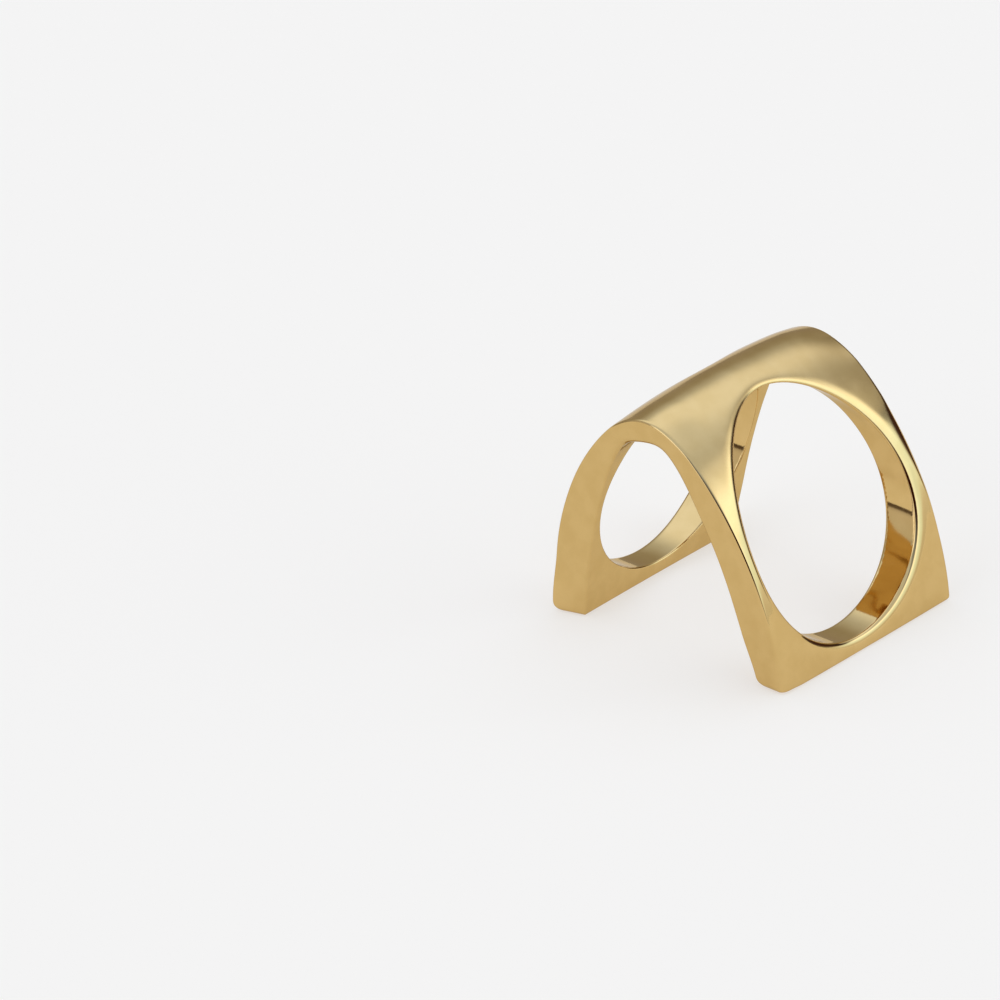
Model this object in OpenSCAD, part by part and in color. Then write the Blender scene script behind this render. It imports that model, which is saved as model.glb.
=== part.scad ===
/*
  Double ring: one arched plate with a finger hole through each leg.
  Seen from the side the plate is an upturned V with a rounded ridge.
  One finger passes both legs, and the ring stands on its two flat feet.

  Frame: X runs along the ridge, Y along the finger, Z up.
  The origin is the middle of the footprint, on the plane the feet stand on.
  The slanted front leg is on -Y, the steeper rear leg on +Y.
  All sizes are in millimetres.
*/

/* [Finger holes] */
// Inner diameter of both bands
finger_d = 17.1; // [15:0.1:19]
// Height of the finger axis above the feet
finger_z = 9.6; // [9:0.05:11]

/* [Ridge] */
// Height of the ridge above the feet
ridge_z = 19; // [17:0.1:22]
// Width at the ridge
ridge_w = 20; // [18:0.1:22]
// Outer radius of the ridge in side view
ridge_r = 4.5; // [3:0.1:6]
// Thickness of the plate at the two ends of the ridge
ridge_t = 1.6; // [1.2:0.1:2.5]
// Inner radius of the ridge in side view
ridge_inner_r = 3; // [2:0.1:4]
// Shift of that inner rounding towards the rear leg
ridge_inner_shift = 0.3; // [0:0.1:1]
// Radius of the slight crown along the ridge
crown_r = 80; // [60:5:200]
// Rounding of the ridge's two end corners
ridge_end_r = 1.2; // [0.5:0.1:2]

/* [Front leg] */
// Distance of the front foot's outer edge from the ridge line
front_reach = 12.2; // [10:0.1:14]
// Thickness of the front foot
front_foot_t = 2.8; // [2:0.1:4]
// Width of the front foot
front_w = 19.7; // [18:0.1:22]
// Radius of the front leg's outer face in side view
front_outer_r = 24; // [18:0.5:40]
// Radius of the front leg's inner face in side view
front_inner_r = 31; // [22:0.5:60]

/* [Rear leg] */
// Distance of the rear foot's outer edge from the ridge line
rear_reach = 9.1; // [8:0.1:12]
// Thickness of the rear foot
rear_foot_t = 2.3; // [2:0.1:4]
// Width of the rear foot
rear_w = 17.9; // [17:0.1:22]
// Radius of the rear leg's outer face in side view
rear_outer_r = 20; // [16:0.5:40]
// Radius of the rear leg's inner face in side view
rear_inner_r = 50; // [24:0.5:80]

/* [Feet] */
// Rounding of the four foot corners
foot_corner_r = 0.7; // [0.3:0.1:1]

/* [Hidden] */
$fn = 180;

// Rounded corners cross the faces beside them by a hair, not just touch them
hair = 0.02;
// Larger than any distance in the ring
reach = 40;

// Centre of a leg face in side view: the circle of radius r that passes the
// foot point f and encloses the ridge circle with centre a and radius ra.
// The turn is 1 for the front leg and -1 for the rear leg.
function face_centre(a, ra, f, r, turn) =
    let (
        d = f - a,
        l = norm(d),
        e = d / l,
        gap = r - ra + hair,
        k = (gap * gap - r * r + l * l) / (2 * l),
        h = sqrt(gap * gap - k * k)
    )
    a + k * e + turn * h * [-e[1], e[0]];

// Point of the ridge circle that is nearest to a leg face with centre c
function meeting_point(a, ra, c) = a + ra * (a - c) / norm(a - c);

// Side view points, as [distance from the ridge line, height]
outer_ridge = [0, ridge_z - ridge_r];
outer_front = face_centre(outer_ridge, ridge_r, [-front_reach, 0], front_outer_r, 1);
outer_rear = face_centre(outer_ridge, ridge_r, [rear_reach, 0], rear_outer_r, -1);
inner_ridge = [ridge_inner_shift, ridge_z - ridge_t - ridge_inner_r];
inner_front = face_centre(inner_ridge, ridge_inner_r,
                          [front_foot_t - front_reach, 0], front_inner_r, 1);
inner_rear = face_centre(inner_ridge, ridge_inner_r,
                         [rear_reach - rear_foot_t, 0], rear_inner_r, -1);

// The rear leg bulges past its foot, and the footprint's middle allows for it
rear_bulge_reach = outer_rear[0] + rear_outer_r;
ridge_y = (front_reach - rear_bulge_reach) / 2;

// The side view is swept on a circle about an axis far below the feet.
// It starts below the feet, because the crown lowers its two ends.
crown_axis_z = ridge_z - crown_r;
sweep_angle = 24;
sink = 1.5;

// The end faces stand upright at the ridge and lean in below it
lean_from_z = ridge_z - ridge_t - 0.9;

// Centre of the ridge's corner rounding in front view
ridge_corner_x = ridge_w / 2 - ridge_end_r + hair;
ridge_corner_z = crown_axis_z
    + sqrt(pow(crown_r - ridge_end_r + hair, 2) - pow(ridge_corner_x, 2));

// Filled arch in side view: two leg faces and the ridge circle between them
module arch_area(ridge, r, front_c, front_r, rear_c, rear_r, foot_z) {
    front_m = meeting_point(ridge, r, front_c);
    rear_m = meeting_point(ridge, r, rear_c);
    slope = (rear_m[1] - front_m[1]) / (rear_m[0] - front_m[0]);
    intersection() {
        translate(front_c)
            circle(r = front_r);
        translate(rear_c)
            rotate(180)
                circle(r = rear_r);
        polygon([
            [-reach, foot_z],
            [reach, foot_z],
            [reach, front_m[1] + slope * (reach - front_m[0])],
            [-reach, front_m[1] - slope * (reach + front_m[0])]
        ]);
    }
    translate(ridge)
        rotate(-90)
            circle(r = r);
}

// The plate in side view
module plate_area() {
    difference() {
        arch_area(outer_ridge, ridge_r, outer_front, front_outer_r,
                  outer_rear, rear_outer_r, -sink);
        arch_area(inner_ridge, ridge_inner_r, inner_front, front_inner_r,
                  inner_rear, rear_inner_r, -2 * sink);
    }
}

// The plate swept along the crown
module crowned_plate() {
    translate([0, 0, crown_axis_z])
        rotate([90, -90, 0])
            rotate([0, 0, -sweep_angle / 2])
                rotate_extrude(angle = sweep_angle)
                    translate([-crown_axis_z, 0])
                        rotate([0, 0, -90])
                            plate_area();
}

// What the rounding takes off a corner of the ridge in front view
module ridge_corner_area() {
    difference() {
        translate([ridge_corner_x, ridge_corner_z])
            square(reach);
        translate([ridge_corner_x, ridge_corner_z])
            circle(r = ridge_end_r);
    }
}

// What the rounding takes off a foot corner, where the end face leans by lean
module foot_corner_area(foot_w, lean) {
    x = foot_w / 2 + foot_corner_r * (lean - sqrt(1 + lean * lean)) + hair;
    z = foot_corner_r - hair;
    difference() {
        translate([x, z - reach])
            square(reach);
        translate([x, z])
            circle(r = foot_corner_r);
    }
}

// Outline of one leg in front view, from its foot to above the ridge
module leg_area(foot_w) {
    lean = (ridge_w - foot_w) / 2 / lean_from_z;
    difference() {
        polygon([
            [-foot_w / 2, 0],
            [foot_w / 2, 0],
            [ridge_w / 2, lean_from_z],
            [ridge_w / 2, reach],
            [-ridge_w / 2, reach],
            [-ridge_w / 2, lean_from_z]
        ]);
        for (side = [0, 1])
            mirror([side, 0, 0]) {
                ridge_corner_area();
                foot_corner_area(foot_w, lean);
            }
    }
}

// Block that trims the plate to the outlines of its two legs
module trim_block() {
    rotate([90, 0, 0])
        linear_extrude(reach)
            leg_area(front_w);
    translate([0, reach, 0])
        rotate([90, 0, 0])
            linear_extrude(reach)
                leg_area(rear_w);
}

module double_ring() {
    color("goldenrod")
        translate([0, ridge_y, 0])
            difference() {
                intersection() {
                    crowned_plate();
                    trim_block();
                }
                translate([0, 0, finger_z])
                    rotate([90, 0, 0])
                        rotate([0, 0, 30])
                            cylinder(d = finger_d, h = 2 * reach, center = true);
            }
}

double_ring();
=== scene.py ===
import math

import bpy
import numpy as np
from mathutils import Matrix, Vector


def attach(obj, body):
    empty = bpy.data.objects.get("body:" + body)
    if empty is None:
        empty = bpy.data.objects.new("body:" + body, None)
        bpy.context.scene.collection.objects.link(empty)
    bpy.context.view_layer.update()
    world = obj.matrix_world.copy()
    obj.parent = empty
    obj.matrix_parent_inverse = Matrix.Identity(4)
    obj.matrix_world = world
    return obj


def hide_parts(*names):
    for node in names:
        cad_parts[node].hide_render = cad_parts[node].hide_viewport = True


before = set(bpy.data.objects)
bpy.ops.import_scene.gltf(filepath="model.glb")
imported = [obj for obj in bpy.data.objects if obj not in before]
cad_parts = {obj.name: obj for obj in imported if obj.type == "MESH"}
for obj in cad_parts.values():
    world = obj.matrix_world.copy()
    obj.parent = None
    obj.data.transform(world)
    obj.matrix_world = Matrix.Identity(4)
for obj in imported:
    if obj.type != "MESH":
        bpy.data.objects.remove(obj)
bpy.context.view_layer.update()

MM = 0.001

# The ring's shape.
# Millimetres, in the construction's own frame: the ridge line is at y = 0.
RIDGE_Y = 1.421
CROWN_AXIS_Z = -61.0
# Each side-view face: centre y, centre z, radius. The blend rounds the ridge.
OUTER_FRONT = (12.460, -1.380, 24.706)
OUTER_REAR = (-11.221, 3.027, 20.577)
OUTER_BLEND = 1.349
INNER_FRONT = (26.599, -5.751, 36.512)
INNER_REAR = (-65.372, -7.433, 72.606)
INNER_BLEND = 2.666
# The hollow under the ridge ends softly at this height, which falls along y
INNER_TOP, INNER_TOP_FALL, INNER_TOP_BLEND = 17.1, 0.24, 0.35
# Half width of the flat end faces: at the origin, per y, per z
END_PLANE = (9.183, -0.0462, 0.0347)
# The finger hole is a hair flatter than round: half width, half height, middle
FINGER_HALF = (8.68, 8.34)
FINGER_Z = 9.49
# and its axis turns a little, this far across per millimetre along
FINGER_TURN = 0.025
# Edge rounding as the set-back on each of the two faces that meet there:
# below the outer face at the hole rim and at the ends
HOLE_DEPTH, END_DEPTH = 0.36, 0.20
# and from the hole, the ends and the base on the outer face
OUTER_HOLE, OUTER_END, OUTER_BASE = 0.85, 0.20, 0.25
# Lower down on the front leg the hole's is wider by this much
RIM_WIDER, RIM_FROM, RIM_TO = 0.35, 4.0, 9.0
# Depth and inner edges change from the ends' to the hole's over this distance
DEPTH_CHANGE = 1.2
# The inner face's edges widen from the legs' lower parts to the ridge
INNER_EDGE, INNER_RIDGE, INNER_FROM, INNER_TO = 0.16, 0.50, 12.0, 16.0
# and on the front leg they are wider by this much at the hole
INNER_RIM = 0.14
# A rounding sets in softly, from this share of its set-back before it
SOFT_RIM, SOFT_EDGE = 0.6, 0.15
# Rounding of each foot towards its ends, its outer face and its inner face
FRONT_FOOT = (0.60, 0.30, 1.10)
REAR_FOOT = (0.45, 1.00, 0.25)
# The front foot's outer corner at the -X end is rounder: depth, towards the end,
# the base
FOOT_EDGE, FOOT_EDGE_FROM, FOOT_EDGE_TO = (0.8, 0.8, 0.3), 0.5, 3.5
# The front leg's outer edge at the +X end is wider by this much below the ridge,
# where it begins and where it stops
UPPER_EDGE, UPPER_FROM, UPPER_TO = 0.45, (7.5, 12.0), (12.8, 14.6)
# What is special at the front leg's ends holds within END_NEAR of them and fades
# out by END_FAR
END_NEAR, END_FAR = 0.8, 2.5
# The front foot's ends thin by this much on their inner face, from TAPER_TO down
TAPER, TAPER_TO = 0.35, 4.0
# and it leans towards +X by this much, from LEAN_TO down
LEAN, LEAN_TO = 0.2, 6.0
# The rear foot's end faces turn out by FLARE per millimetre beyond FLARE_Y,
# from FLARE_TO down to the base
FLARE, FLARE_Y, FLARE_TO = 0.30, 7.3, 4.5
# The ridge rolls down by ROLL towards its ends, above RIDGE_FROM
ROLL, ROLL_FROM, ROLL_TO = 0.3, 6.5, 10.0
RIDGE_FROM, RIDGE_TO = 16.5, 18.6

# The mesh is made on a grid of this cell size between these corners
CELL = 0.13
NET_LOW, NET_HIGH = (-10.5, -12.9, -0.45), (10.5, 10.2, 19.6)
# and then slides along the surface in this many rounds, by this share of the way
# to its neighbours' middle, and closer at the edges by EDGE_PULL
SLIDES, SLIDE_SHARE, EDGE_PULL = 16, 0.5, 12.0
# Step of the differences that give the slope, and the least slope squared
SLOPE_STEP, LEAST_SLOPE = 1e-3, 1e-6


def arch_distance(y, height, front, rear, blend):
    """Signed distance, roughly, from an arch in side view. Inside is negative."""
    to_front = np.hypot(y - front[0], height - front[1]) - front[2]
    to_rear = np.hypot(y - rear[0], height - rear[1]) - rear[2]
    return np.logaddexp(to_front / blend, to_rear / blend) * blend


def rounded(distances, set_backs, scale, soft=SOFT_EDGE):
    """The solid behind several faces, with the edges between them rounded."""
    total = 0.0
    for distance, set_back in zip(distances, set_backs):
        near = distance / set_back + 1.0
        start = np.clip(near + soft, 0.0, None) ** 2 / (4.0 * soft)
        total = total + np.where(near < soft, start, near) ** 2
    return (np.sqrt(total) - 1.0) * scale


def eased(value, low, high):
    """Zero below low, one above high, and smooth between them."""
    share = np.clip((value - low) / (high - low), 0.0, 1.0)
    return share * share * (3.0 - 2.0 * share)


def ring_field(x, y, z):
    """Negative inside the metal, zero on its surface."""
    # The plate's two faces in side view, swept along the crown
    rise = eased(z, RIDGE_FROM, RIDGE_TO)
    roll = np.maximum(np.abs(x) - ROLL_FROM, 0.0) / (ROLL_TO - ROLL_FROM)
    height = np.hypot(x, z - CROWN_AXIS_Z) + CROWN_AXIS_Z + ROLL * rise * roll**2
    outer = arch_distance(y, height, OUTER_FRONT, OUTER_REAR, OUTER_BLEND)
    hollow = arch_distance(y, height, INNER_FRONT, INNER_REAR, INNER_BLEND)
    below_top = (height + INNER_TOP_FALL * y - INNER_TOP) / INNER_TOP_BLEND
    inner = -np.logaddexp(hollow / INNER_TOP_BLEND, below_top) * INNER_TOP_BLEND
    # The end faces, the finger hole and the base
    front = y < 0.0
    lean = np.where(front, LEAN, 0.0) * (1.0 - eased(z, 0.0, LEAN_TO))
    end = np.abs(x - lean) - (END_PLANE[0] + END_PLANE[1] * y + END_PLANE[2] * z)
    half_width, half_height = FINGER_HALF
    across = x - FINGER_TURN * y
    hole = half_width - np.hypot(across, (z - FINGER_Z) * (half_width / half_height))
    base = -z
    flare = np.where(front, 0.0, FLARE * (y - FLARE_Y))
    end = end - flare * (1.0 - eased(z, 0.0, FLARE_TO))
    at_end = np.where(front, 1.0 - eased(-end, END_NEAR, END_FAR), 0.0)
    inner = inner + TAPER * at_end * (1.0 - eased(z, 0.0, TAPER_TO))
    # Set-backs of the edges
    off_end = eased(-end, 0.0, DEPTH_CHANGE)
    depth = END_DEPTH + (HOLE_DEPTH - END_DEPTH) * off_end
    inner_edge = np.where(front, INNER_RIM, 0.0) * off_end + INNER_EDGE
    inner_edge = inner_edge + (INNER_RIDGE - inner_edge) * eased(z, INNER_FROM, INNER_TO)
    to_end, to_outer, to_inner = [
        np.where(front, *pair) for pair in zip(FRONT_FOOT, REAR_FOOT)
    ]
    at_left = np.where(x < 0.0, at_end, 0.0)
    low = at_left * (1.0 - eased(z, FOOT_EDGE_FROM, FOOT_EDGE_TO))
    depth, outer_end, outer_base = [
        above + (below - above) * low
        for above, below in zip((depth, OUTER_END, OUTER_BASE), FOOT_EDGE)
    ]
    upper = eased(z, *UPPER_FROM) * (1.0 - eased(z, *UPPER_TO))
    outer_end = outer_end + UPPER_EDGE * np.where(x > 0.0, at_end, 0.0) * upper
    rim_wider = np.where(front, RIM_WIDER, 0.0)
    outer_hole = OUTER_HOLE + rim_wider * (1.0 - eased(z, RIM_FROM, RIM_TO))
    return np.maximum.reduce(
        [
            rounded(
                (outer, end, hole, base),
                (depth, outer_end, outer_hole, outer_base),
                HOLE_DEPTH,
                SOFT_RIM,
            ),
            rounded((inner, end, hole, base), (inner_edge,) * 4, INNER_EDGE),
            rounded((end, base), (to_end, to_end), to_end),
            rounded((outer, base), (to_outer, to_outer), to_outer),
            rounded((inner, base), (to_inner, to_inner), to_inner),
        ]
    )


def gradient(points):
    """Slope of the field at points, by central differences."""
    slopes = np.empty_like(points)
    for axis in range(3):
        shift = np.zeros(3)
        shift[axis] = SLOPE_STEP
        slopes[:, axis] = (
            ring_field(*(points + shift).T) - ring_field(*(points - shift).T)
        ) / (2 * SLOPE_STEP)
    return slopes


def onto_surface(points, rounds=4):
    """Moves points along the slope until they lie on the surface."""
    for _ in range(rounds):
        slope = gradient(points)
        length2 = np.maximum((slope**2).sum(1), LEAST_SLOPE)
        points = points - (ring_field(*points.T) / length2)[:, None] * slope
    return points


def surface_net(low, high, cell):
    """Closed quad mesh of the field's zero surface: (vertices, quads)."""
    axes = [np.arange(a, b + cell, cell) for a, b in zip(low, high)]
    field = np.stack(
        [
            ring_field(x, *np.meshgrid(axes[1], axes[2], indexing="ij"))
            for x in axes[0]
        ]
    )
    inside = field < 0
    shape = np.array(field.shape) - 1
    corners = np.stack(
        [
            inside[i : i + shape[0], j : j + shape[1], k : k + shape[2]]
            for i in (0, 1)
            for j in (0, 1)
            for k in (0, 1)
        ]
    )
    crossed = corners.any(0) & ~corners.all(0)
    number = np.full(crossed.shape, -1, np.int64)
    cells = np.argwhere(crossed)
    number[crossed] = np.arange(len(cells))

    # A cell's vertex is the mean of the crossings on its twelve edges
    total = np.zeros((len(cells), 3))
    count = np.zeros(len(cells))
    for axis in range(3):
        others = [a for a in range(3) if a != axis]
        for first in (0, 1):
            for second in (0, 1):
                start = np.zeros(3, int)
                start[others[0]], start[others[1]] = first, second
                stop = start.copy()
                stop[axis] = 1
                a = field[tuple((cells + start).T)]
                b = field[tuple((cells + stop).T)]
                hit = (a < 0) != (b < 0)
                share = np.where(hit, a / np.where(hit, a - b, 1.0), 0.0)
                place = np.tile(start.astype(float), (len(cells), 1))
                place[:, axis] = share
                total += np.where(hit[:, None], place, 0.0)
                count += hit
    vertices = np.array(low) + (cells + total / count[:, None]) * cell

    # Every crossed grid edge has one quad through the four cells around it
    quads = []
    for axis in range(3):
        u, v = (axis + 1) % 3, (axis + 2) % 3
        here = [slice(None)] * 3
        there = [slice(None)] * 3
        here[axis], there[axis] = slice(0, -1), slice(1, None)
        a, b = inside[tuple(here)], inside[tuple(there)]
        edges = np.argwhere(a != b)
        outward = a[tuple(edges.T)]
        step_u, step_v = np.eye(3, dtype=int)[u], np.eye(3, dtype=int)[v]
        ring = [edges - step_u - step_v, edges - step_v, edges, edges - step_u]
        ids = np.stack([number[tuple(r.T)] for r in ring], 1)
        ids[~outward] = ids[~outward][:, ::-1]
        quads.append(ids)
    return vertices, np.concatenate(quads)


def unit(vectors):
    return vectors / np.linalg.norm(vectors, axis=1)[:, None]


def summed(values, pairs, count):
    """Sum of each vertex's neighbours' values."""
    return np.stack(
        [
            np.bincount(pairs[:, 0], column[pairs[:, 1]], count)
            + np.bincount(pairs[:, 1], column[pairs[:, 0]], count)
            for column in values.T
        ],
        axis=1,
    )


def relaxed(vertices, quads):
    """Slides the vertices along the surface, evenly and closer at the edges."""
    pairs = np.concatenate([quads[:, [i, (i + 1) % 4]] for i in range(4)])
    count = len(vertices)
    for _ in range(SLIDES):
        normal = unit(gradient(vertices))
        bend = np.linalg.norm(normal[pairs[:, 0]] - normal[pairs[:, 1]], axis=1)
        weight = np.bincount(pairs[:, 0], bend, count)
        weight = (weight + np.bincount(pairs[:, 1], bend, count))[:, None]
        weight = 1.0 + EDGE_PULL * weight / np.bincount(pairs.ravel())[:, None]
        total = summed(np.hstack([vertices * weight, weight]), pairs, count)
        pull = total[:, :3] / total[:, 3:] - vertices
        pull -= (pull * normal).sum(1)[:, None] * normal
        vertices = onto_surface(vertices + SLIDE_SHARE * pull, rounds=1)
    return vertices


def build_ring():
    vertices, quads = surface_net(NET_LOW, NET_HIGH, CELL)
    vertices = onto_surface(vertices)
    vertices = onto_surface(relaxed(vertices, quads))
    normals = unit(gradient(vertices))
    places = (vertices + np.array([0.0, RIDGE_Y, 0.0])) * MM
    mesh = bpy.data.meshes.new("ring_body")
    mesh.from_pydata(places.tolist(), [], quads.tolist())
    mesh.validate()
    mesh.update()
    mesh.shade_smooth()
    mesh.normals_split_custom_set_from_vertices(normals.tolist())
    ring = bpy.data.objects.new("ring_body", mesh)
    bpy.context.scene.collection.objects.link(ring)
    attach(ring, "root")
    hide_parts("double_ring")
    return ring


# The materials.
# Two tones of the plating, which change slowly over its surface
GOLD_LIGHT = (0.670, 0.458, 0.182, 1)
GOLD_DEEP = (0.635, 0.428, 0.163, 1)
# Wavelengths in metres: the polisher's soft waves, cloudy patches, hairlines, grain
WAVE, PATCH, HAIR_LENGTH, HAIR_WIDTH, GRAIN = 4.5e-3, 1.6e-3, 2.5e-3, 6e-5, 1.2e-4
# Octaves of each noise
WAVE_DETAIL, PATCH_DETAIL, HAIR_DETAIL, GRAIN_DETAIL = 1.0, 4.0, 2.0, 2.0
# Heights in metres of the waves, the hairlines and the grain
WAVE_HEIGHT, HAIR_HEIGHT, GRAIN_HEIGHT = 5.0e-5, 3.0e-7, 3.0e-7
# Roughness of the glossy and of the satin patches, and what the hairlines add
GLOSSY, SATIN, HAIR_SATIN = 0.03, 0.065, 0.015
# The ridge is more satin by this much, between these heights in metres
RIDGE_SATIN, SATIN_FROM, SATIN_TO = 0.09, 0.012, 0.0165
# The second set of hairlines is turned by this angle, in radians
CROSSING_TURN = 0.6
# Noise keeps mostly within this range
NOISE_LOW, NOISE_HIGH = 0.32, 0.68
# Tint of reflections at grazing angles
GRAZING = (0.76, 0.71, 0.61, 1)


def gold_material():
    """Polished plating: mirror-like, with soft waves, cloudy patches and hairlines."""
    material = bpy.data.materials.new("polished_gold")
    material.use_nodes = True
    tree = material.node_tree
    shader = tree.nodes["Principled BSDF"]
    place = tree.nodes.new("ShaderNodeTexCoord").outputs["Object"]

    def noise(wavelengths, detail, turn=0.0):
        """Noise that is stretched to a wavelength along each axis, from 0 to 1."""
        mapping = tree.nodes.new("ShaderNodeMapping")
        mapping.inputs["Rotation"].default_value = (turn, turn, turn)
        mapping.inputs["Scale"].default_value = [1 / w for w in wavelengths]
        tree.links.new(place, mapping.inputs["Vector"])
        texture = tree.nodes.new("ShaderNodeTexNoise")
        texture.inputs["Scale"].default_value = 1.0
        texture.inputs["Detail"].default_value = detail
        tree.links.new(mapping.outputs["Vector"], texture.inputs["Vector"])
        return texture.outputs["Fac"]

    def spread(value, low, high):
        """The middle of the noise's range, spread from low to high."""
        made = tree.nodes.new("ShaderNodeMapRange")
        made.interpolation_type = "SMOOTHSTEP"
        made.inputs["From Min"].default_value = NOISE_LOW
        made.inputs["From Max"].default_value = NOISE_HIGH
        made.inputs["To Min"].default_value = low
        made.inputs["To Max"].default_value = high
        tree.links.new(value, made.inputs["Value"])
        return made.outputs["Result"]

    def bump(height, distance, below=None):
        made = tree.nodes.new("ShaderNodeBump")
        made.inputs["Distance"].default_value = distance
        tree.links.new(height, made.inputs["Height"])
        if below is not None:
            tree.links.new(below, made.inputs["Normal"])
        return made.outputs["Normal"]

    patches = noise((PATCH,) * 3, PATCH_DETAIL)
    hair = (HAIR_LENGTH, HAIR_WIDTH, HAIR_WIDTH)
    hairs = noise(hair, HAIR_DETAIL)
    crossing = noise(hair, HAIR_DETAIL, turn=CROSSING_TURN)

    tone = tree.nodes.new("ShaderNodeMix")
    tone.data_type = "RGBA"
    tone.inputs["A"].default_value = GOLD_DEEP
    tone.inputs["B"].default_value = GOLD_LIGHT
    tree.links.new(spread(patches, 0.0, 1.0), tone.inputs["Factor"])
    tree.links.new(tone.outputs["Result"], shader.inputs["Base Color"])

    gloss = tree.nodes.new("ShaderNodeMath")
    gloss.operation = "ADD"
    tree.links.new(spread(patches, GLOSSY, SATIN), gloss.inputs[0])
    tree.links.new(spread(hairs, 0.0, HAIR_SATIN), gloss.inputs[1])
    height = tree.nodes.new("ShaderNodeSeparateXYZ")
    tree.links.new(place, height.inputs[0])
    ridge = tree.nodes.new("ShaderNodeMapRange")
    ridge.interpolation_type = "SMOOTHSTEP"
    ridge.inputs["From Min"].default_value = SATIN_FROM
    ridge.inputs["From Max"].default_value = SATIN_TO
    ridge.inputs["To Max"].default_value = RIDGE_SATIN
    tree.links.new(height.outputs["Z"], ridge.inputs["Value"])
    satin = tree.nodes.new("ShaderNodeMath")
    satin.operation = "ADD"
    tree.links.new(gloss.outputs[0], satin.inputs[0])
    tree.links.new(ridge.outputs["Result"], satin.inputs[1])
    tree.links.new(satin.outputs[0], shader.inputs["Roughness"])

    normal = bump(noise((WAVE,) * 3, WAVE_DETAIL), WAVE_HEIGHT)
    normal = bump(hairs, HAIR_HEIGHT, normal)
    normal = bump(crossing, HAIR_HEIGHT, normal)
    normal = bump(noise((GRAIN,) * 3, GRAIN_DETAIL), GRAIN_HEIGHT, normal)
    tree.links.new(normal, shader.inputs["Normal"])
    shader.inputs["Metallic"].default_value = 1.0
    shader.inputs["Specular Tint"].default_value = GRAZING
    return material


def floor_material():
    material = bpy.data.materials.new("pale_floor")
    material.use_nodes = True
    shader = material.node_tree.nodes["Principled BSDF"]
    shader.inputs["Base Color"].default_value = (*FLOOR_COLOUR, 1)
    shader.inputs["Emission Color"].default_value = (*FLOOR_LIGHT, 1)
    shader.inputs["Emission Strength"].default_value = FLOOR_GLOW
    shader.inputs["Roughness"].default_value = FLOOR_ROUGHNESS
    return material


# The camera.
# The photo's viewing direction, its scale at the ring and where the ring sits
VIEW_AZIMUTH = math.radians(51.454)
VIEW_ELEVATION = math.radians(26.814)
CAMERA_DISTANCE = 1.0
PIXELS_PER_METRE = 13912.0
IMAGE_SIZE = 1000
AIM = Vector((0.0, RIDGE_Y * MM, 0.0105))
AIM_PIXEL = (733.22, 470.70)
SENSOR = 36.0
CLIP_START, CLIP_END = 0.01, 10


def heading(compass, elevation):
    """Direction at a compass angle from +Y towards +X, and at an elevation."""
    return Vector(
        (
            math.sin(compass) * math.cos(elevation),
            math.cos(compass) * math.cos(elevation),
            math.sin(elevation),
        )
    )


def rightward(compass):
    """Level direction to the right of a compass angle."""
    return Vector((math.cos(compass), -math.sin(compass), 0.0))


def add_camera():
    data = bpy.data.cameras.new("camera")
    camera = bpy.data.objects.new("camera", data)
    bpy.context.scene.collection.objects.link(camera)
    forward = heading(VIEW_AZIMUTH, -VIEW_ELEVATION)
    right = rightward(VIEW_AZIMUTH)
    up = right.cross(forward)
    focal = PIXELS_PER_METRE * CAMERA_DISTANCE
    # The ring stands right of the middle: the camera turns a little to its left
    across = (AIM_PIXEL[0] - IMAGE_SIZE / 2) / focal
    above = (IMAGE_SIZE / 2 - AIM_PIXEL[1]) / focal
    towards = (forward - across * right - above * up).normalized()
    side = towards.cross(up).normalized()
    top = side.cross(towards)
    turn = Matrix((side, top, -towards)).transposed()
    camera.matrix_world = Matrix.Translation(
        AIM - forward * CAMERA_DISTANCE
    ) @ turn.to_4x4()
    data.sensor_width = SENSOR
    data.lens = focal * SENSOR / IMAGE_SIZE
    data.clip_start, data.clip_end = CLIP_START, CLIP_END
    bpy.context.scene.camera = camera


# The studio.
# Soft light panels far away, as (compass angle from +Y towards +X, elevation,
# half width, half height, soft edge, soft edge below, added colour), in degrees.
# The fourth only cools the second and the third. The last three take light away:
# a dark screen, a dark gap at the floor's edge and the dark side that the camera
# stands on.
PANELS = (
    (155.0, 23.2, 31.0, 12.5, 12.0, 18.0, (1.00, 1.24, 1.66)),
    (155.0, 33.0, 31.0, 9.8, 1.5, 10.0, (0.34, 0.36, 0.40)),
    (170.0, 4.0, 52.0, 8.0, 8.0, 8.0, (0.38, 0.42, 0.44)),
    (152.0, 15.0, 28.0, 8.0, 6.0, 6.0, (-0.06, 0.13, 0.24)),
    (40.0, 60.0, 45.0, 14.0, 16.0, 16.0, (0.42, 0.46, 0.58)),
    (-80.0, 24.0, 20.0, 20.0, 10.0, 12.0, (0.95, 1.05, 1.35)),
    (-45.0, 14.0, 18.0, 10.0, 6.0, 6.0, (0.30, 0.32, 0.36)),
    (98.0, 11.5, 22.5, 12.5, 3.0, 3.0, (-0.36, -0.39, -0.42)),
    (-45.0, 1.5, 30.0, 1.7, 1.0, 1.0, (-0.35, -0.38, -0.42)),
    (-140.0, 30.0, 32.0, 26.0, 10.0, 10.0, (-0.38, -0.42, -0.46)),
)
# The room behind them: (elevation, colour) from the floor's edge up
ROOM = (
    (0.0, (0.46, 0.47, 0.50)),
    (4.5, (0.43, 0.42, 0.45)),
    (22.0, (0.42, 0.43, 0.46)),
    (50.0, (0.74, 0.88, 1.20)),
)
# The floor is a pale sheet that is lit from below as well as from above
FLOOR_COLOUR = (0.42, 0.365, 0.28)
FLOOR_LIGHT = (1.0, 0.99, 0.97)
FLOOR_GLOW = 0.56
FLOOR_ROUGHNESS = 0.8
# Half its side in metres
FLOOR_HALF = 3.0


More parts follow.
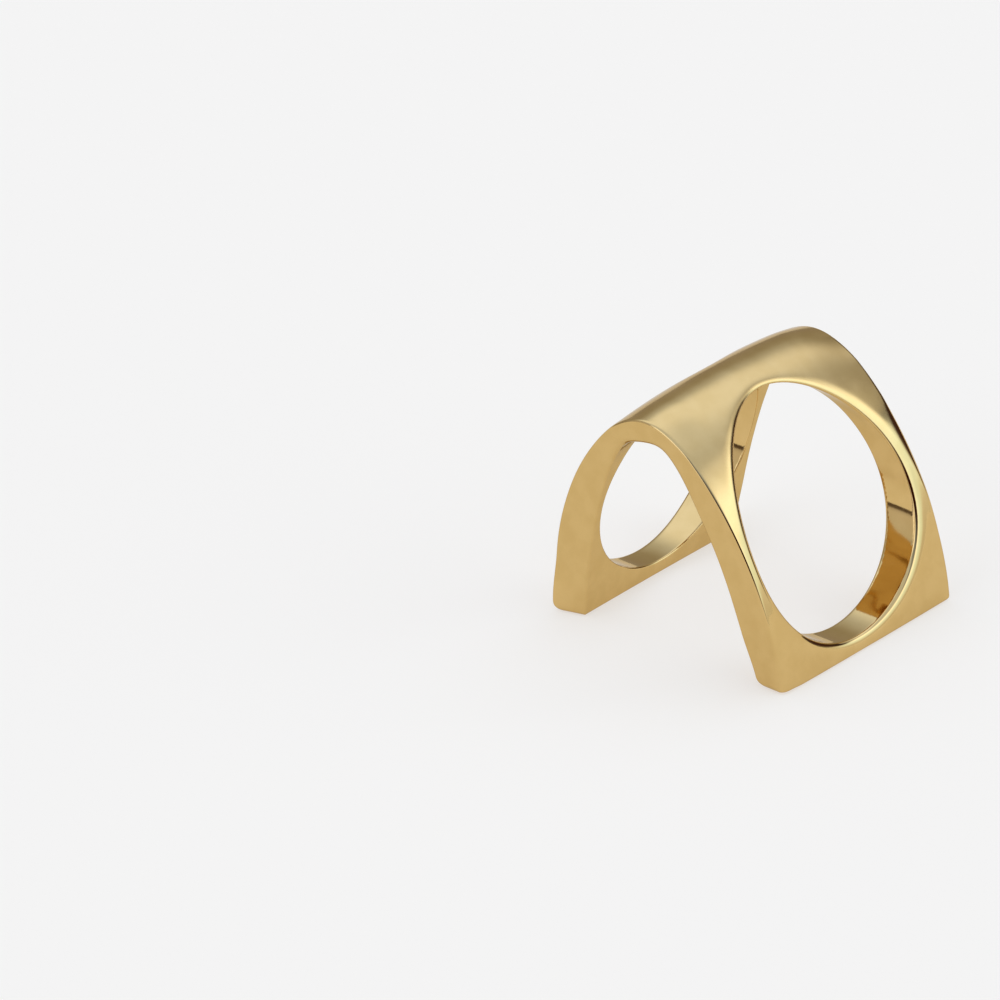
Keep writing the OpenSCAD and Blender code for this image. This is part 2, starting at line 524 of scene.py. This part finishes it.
def add_floor():
    mesh = bpy.data.meshes.new("floor")
    r = FLOOR_HALF
    mesh.from_pydata([(-r, -r, 0), (r, -r, 0), (r, r, 0), (-r, r, 0)], [], [(0, 1, 2, 3)])
    floor = bpy.data.objects.new("floor", mesh)
    mesh.materials.append(floor_material())
    bpy.context.scene.collection.objects.link(floor)


def add_world():
    """An even room with a few soft-edged light panels at its walls."""
    world = bpy.data.worlds.new("studio")
    bpy.context.scene.world = world
    world.use_nodes = True
    tree = world.node_tree

    def node(kind, **values):
        made = tree.nodes.new(kind)
        for name, value in values.items():
            setattr(made, name, value)
        return made

    def math_node(operation, first, second=None):
        made = node("ShaderNodeMath", operation=operation)
        tree.links.new(first, made.inputs[0])
        if isinstance(second, (int, float)):
            made.inputs[1].default_value = second
        elif second is not None:
            tree.links.new(second, made.inputs[1])
        return made.outputs[0]

    direction = node("ShaderNodeTexCoord").outputs["Generated"]

    def along(axis):
        made = node("ShaderNodeVectorMath", operation="DOT_PRODUCT")
        tree.links.new(direction, made.inputs[0])
        made.inputs[1].default_value = axis
        return made.outputs["Value"]

    def faded(sine, edge, soft):
        """One inside the panel's edge, easing to zero outside. Both are degrees."""
        made = node("ShaderNodeMapRange", interpolation_type="SMOOTHSTEP")
        tree.links.new(sine, made.inputs["Value"])
        made.inputs["From Min"].default_value = math.sin(math.radians(edge + soft / 2))
        made.inputs["From Max"].default_value = math.sin(math.radians(edge - soft / 2))
        return made.outputs["Result"]

    # The ramp's place is the sine of the elevation
    ramp = node("ShaderNodeValToRGB")
    tree.links.new(along((0, 0, 1)), ramp.inputs["Fac"])
    ramp.color_ramp.interpolation = "EASE"
    stops = ramp.color_ramp.elements
    while len(stops) < len(ROOM):
        stops.new(0.5)
    for stop, (elevation, colour) in zip(stops, ROOM):
        stop.position = math.sin(math.radians(elevation))
        stop.color = (*colour, 1)
    total = ramp.outputs["Color"]
    for compass, elevation, half_width, half_height, soft, soft_below, colour in PANELS:
        turn, rise = math.radians(compass), math.radians(elevation)
        centre = heading(turn, rise)
        across = rightward(turn)
        upward = across.cross(centre)
        mask = math_node("GREATER_THAN", along(centre), 0.0)
        sides = math_node("ABSOLUTE", along(across))
        mask = math_node("MULTIPLY", mask, faded(sides, half_width, soft))
        mask = math_node("MULTIPLY", mask, faded(along(upward), half_height, soft))
        mask = math_node("MULTIPLY", mask, faded(along(-upward), half_height, soft_below))
        lit = node("ShaderNodeVectorMath", operation="SCALE")
        lit.inputs[0].default_value = colour
        tree.links.new(mask, lit.inputs["Scale"])
        added = node("ShaderNodeVectorMath", operation="ADD")
        tree.links.new(lit.outputs[0], added.inputs[0])
        tree.links.new(total, added.inputs[1])
        total = added.outputs[0]
    tree.links.new(total, tree.nodes["Background"].inputs["Color"])


ring = build_ring()
ring.data.materials.append(gold_material())
add_floor()
add_camera()
add_world()
bpy.context.scene.view_settings.view_transform = "Standard"
